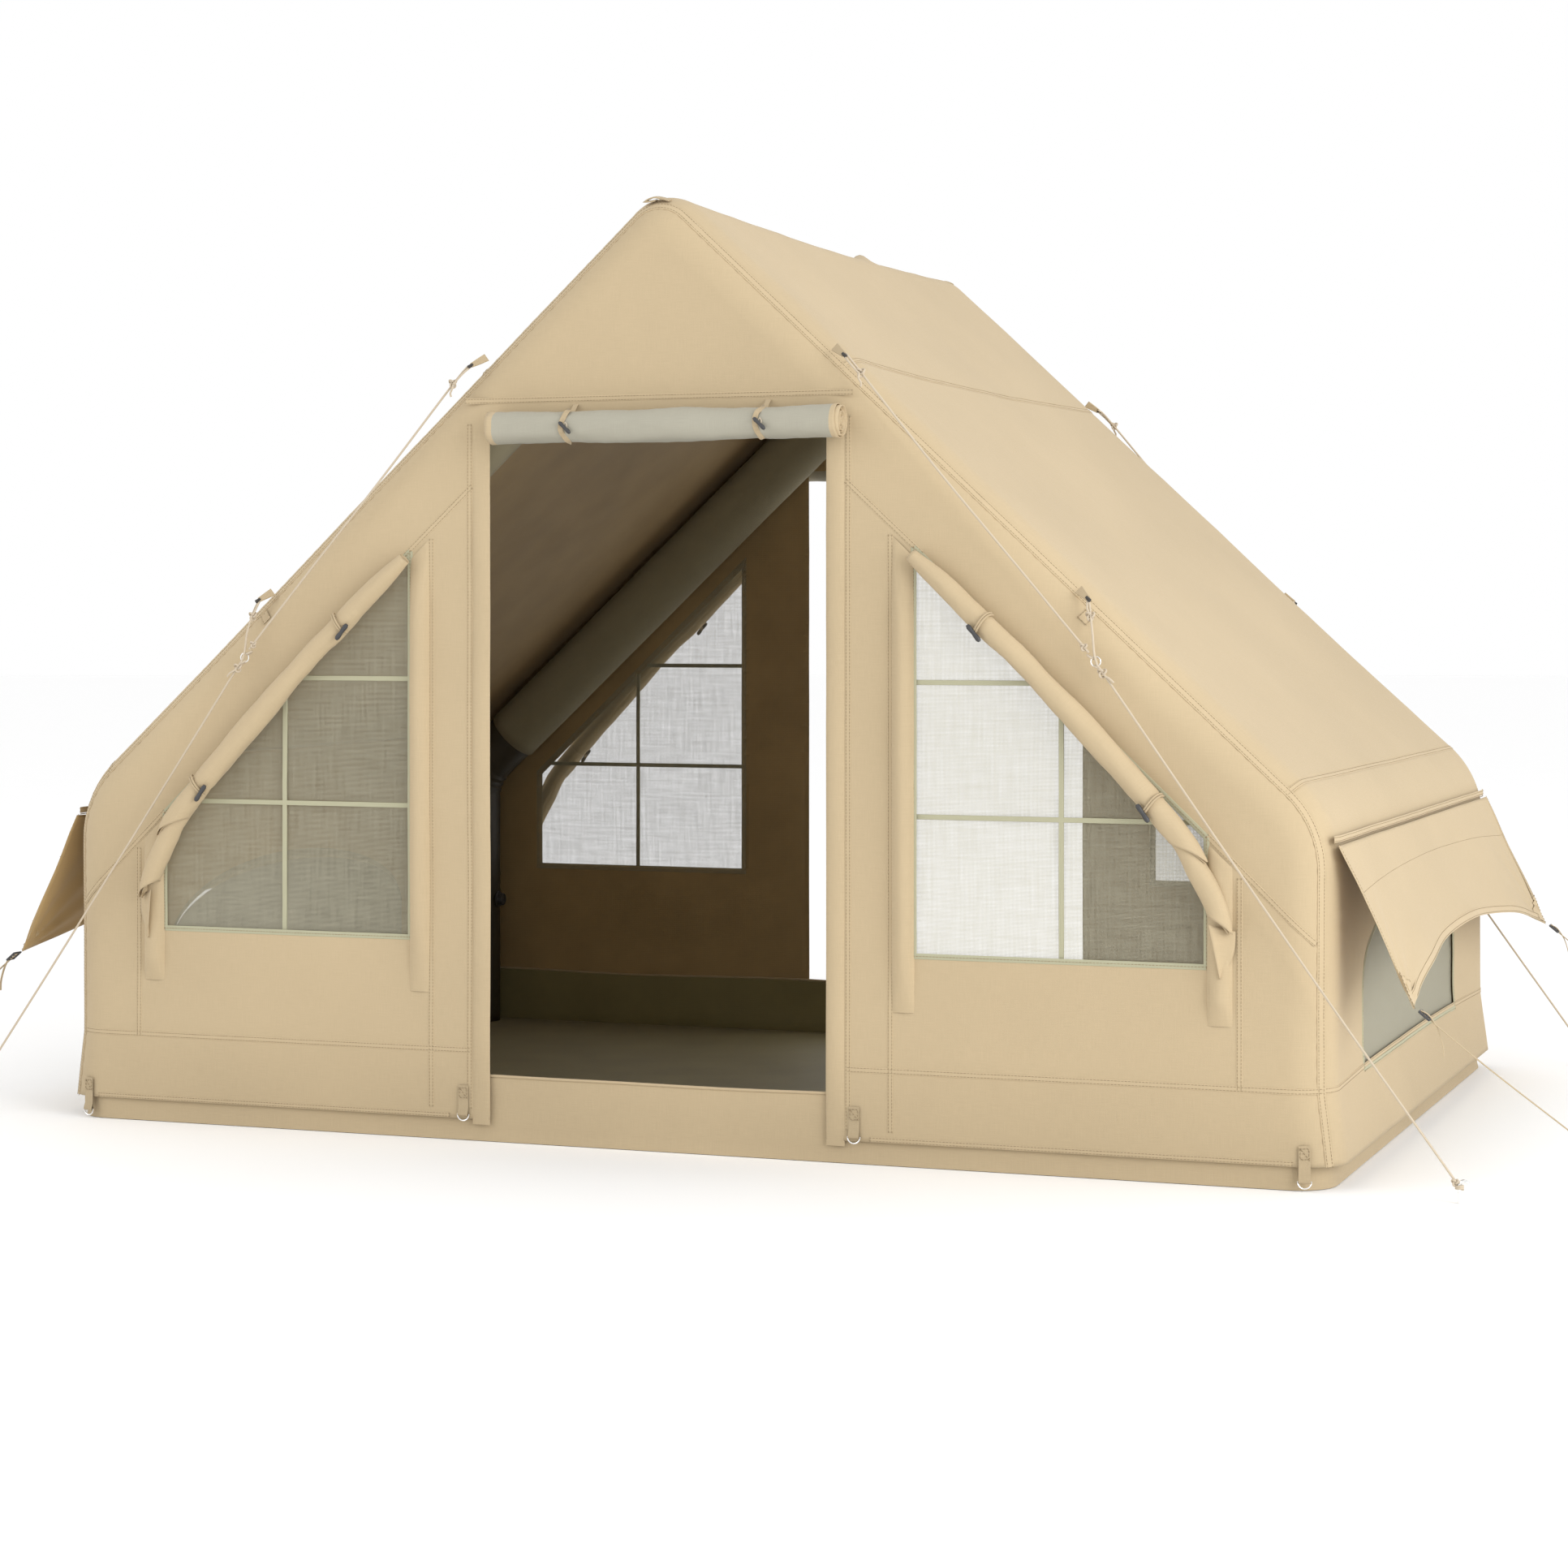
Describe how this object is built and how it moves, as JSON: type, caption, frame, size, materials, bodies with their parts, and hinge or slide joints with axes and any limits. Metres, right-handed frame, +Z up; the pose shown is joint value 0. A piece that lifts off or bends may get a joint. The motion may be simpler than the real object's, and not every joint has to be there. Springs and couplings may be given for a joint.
{
  "type": "inflatable house tent",
  "caption": "House-shaped cabin tent held up by two air-beam arches, with open front and rear doorways, screened windows with rolled flaps, side awnings, tub floor, guy lines and pegs.",
  "frame": {"origin": "on the ground at the middle of the floor", "axes": "+Z up; -Y out of the front doorway; +X to the right of someone facing the front doorway from outside"},
  "size_m": [4.383, 2.2646, 2.126],
  "materials": {
    "tan_canvas": "matte woven canvas, polyester and cotton",
    "canvas_coating": "coated back of the canvas",
    "groundsheet": "coated ripstop floor",
    "insect_mesh": "fine see-through insect mesh",
    "beam_sleeve": "woven beam sleeve",
    "beam_bladder": "smooth airtight film",
    "guy_cord": "braided cord",
    "plated_steel": "bright plated wire",
    "black_plastic": "moulded"
  },
  "bodies": {
    "root": {"air_beam_front": "beam_bladder", "air_beam_rear": "beam_bladder", "air_valve_front": "black_plastic", "air_valve_rear": "black_plastic", "awning_peg_front_left": "plated_steel", "awning_peg_front_right": "plated_steel", "awning_peg_rear_left": "plated_steel", "awning_peg_rear_right": "plated_steel", "awning_strap_front_left": "tan_canvas", "awning_strap_front_right": "tan_canvas", "awning_strap_rear_left": "tan_canvas", "awning_strap_rear_right": "tan_canvas", "beam_sleeve_front": "beam_sleeve", "beam_sleeve_rear": "beam_sleeve", "bridle_front_left": "guy_cord", "bridle_front_right": "guy_cord", "bridle_rear_left": "guy_cord", "bridle_rear_right": "guy_cord", "door_roll_front": "canvas_coating", "door_roll_rear": "canvas_coating", "front_wall": "tan_canvas", "groundsheet": "groundsheet", "guy_line_front_left": "guy_cord", "guy_line_front_right": "guy_cord", "guy_line_rear_left": "guy_cord", "guy_line_rear_right": "guy_cord", "guy_peg_front_left": "plated_steel", "guy_peg_front_right": "plated_steel", "guy_peg_rear_left": "plated_steel", "guy_peg_rear_right": "plated_steel", "guy_ring_front_left": "plated_steel", "guy_ring_front_right": "plated_steel", "guy_ring_rear_left": "plated_steel", "guy_ring_rear_right": "plated_steel", "rear_wall": "tan_canvas", "roof_ridge_panel": "tan_canvas", "roof_slope_left": "tan_canvas", "roof_slope_right": "tan_canvas", "side_screen_left": "insect_mesh", "side_screen_right": "insect_mesh", "side_wall_left": "tan_canvas", "side_wall_right": "tan_canvas", "window_flap_front_left": "tan_canvas", "window_flap_front_right": "tan_canvas", "window_flap_rear_left": "tan_canvas", "window_flap_rear_right": "tan_canvas", "window_screen_front_left": "insect_mesh", "window_screen_front_right": "insect_mesh", "window_screen_rear_left": "insect_mesh", "window_screen_rear_right": "insect_mesh"},
    "front_right_corner_ring": {"peg_ring_front_right_corner": "plated_steel"},
    "front_left_corner_ring": {"peg_ring_front_left_corner": "plated_steel"},
    "front_right_door_ring": {"peg_ring_front_right_door": "plated_steel"},
    "front_left_door_ring": {"peg_ring_front_left_door": "plated_steel"},
    "rear_right_corner_ring": {"peg_ring_rear_right_corner": "plated_steel"},
    "rear_left_corner_ring": {"peg_ring_rear_left_corner": "plated_steel"},
    "rear_right_door_ring": {"peg_ring_rear_right_door": "plated_steel"},
    "rear_left_door_ring": {"peg_ring_rear_left_door": "plated_steel"},
    "left_awning": {"awning_left": "tan_canvas"},
    "right_awning": {"awning_right": "tan_canvas"}
  },
  "joints": [
    {"name": "front_right_corner_ring_swing", "type": "hinge", "parent": "root", "child": "front_right_corner_ring", "pos_m": [1.45095, -1.05227, 0.021], "axis": [-0.9776, -0.2105, 0], "range_deg": [-10, 100]},
    {"name": "front_left_corner_ring_swing", "type": "hinge", "parent": "root", "child": "front_left_corner_ring", "pos_m": [-1.45095, -1.05227, 0.021], "axis": [-0.9776, 0.2105, 0], "range_deg": [-10, 100]},
    {"name": "front_right_door_ring_swing", "type": "hinge", "parent": "root", "child": "front_right_door_ring", "pos_m": [0.468, -1.0545, 0.06], "axis": [-1, 0, 0], "range_deg": [-10, 100]},
    {"name": "front_left_door_ring_swing", "type": "hinge", "parent": "root", "child": "front_left_door_ring", "pos_m": [-0.468, -1.0545, 0.06], "axis": [-1, 0, 0], "range_deg": [-10, 100]},
    {"name": "rear_right_corner_ring_swing", "type": "hinge", "parent": "root", "child": "rear_right_corner_ring", "pos_m": [1.45095, 1.05227, 0.021], "axis": [0.9776, -0.2105, 0], "range_deg": [-10, 100]},
    {"name": "rear_left_corner_ring_swing", "type": "hinge", "parent": "root", "child": "rear_left_corner_ring", "pos_m": [-1.45095, 1.05227, 0.021], "axis": [0.9776, 0.2105, 0], "range_deg": [-10, 100]},
    {"name": "rear_right_door_ring_swing", "type": "hinge", "parent": "root", "child": "rear_right_door_ring", "pos_m": [0.468, 1.0545, 0.06], "axis": [1, 0, 0], "range_deg": [-10, 100]},
    {"name": "rear_left_door_ring_swing", "type": "hinge", "parent": "root", "child": "rear_left_door_ring", "pos_m": [-0.468, 1.0545, 0.06], "axis": [1, 0, 0], "range_deg": [-10, 100]},
    {"name": "left_awning_swing", "type": "hinge", "parent": "root", "child": "left_awning", "pos_m": [-1.506, 0, 0.715], "axis": [0, 1, 0], "range_deg": [-21, 60]},
    {"name": "right_awning_swing", "type": "hinge", "parent": "root", "child": "right_awning", "pos_m": [1.506, 0, 0.715], "axis": [0, -1, 0], "range_deg": [-21, 60]}
  ]
}
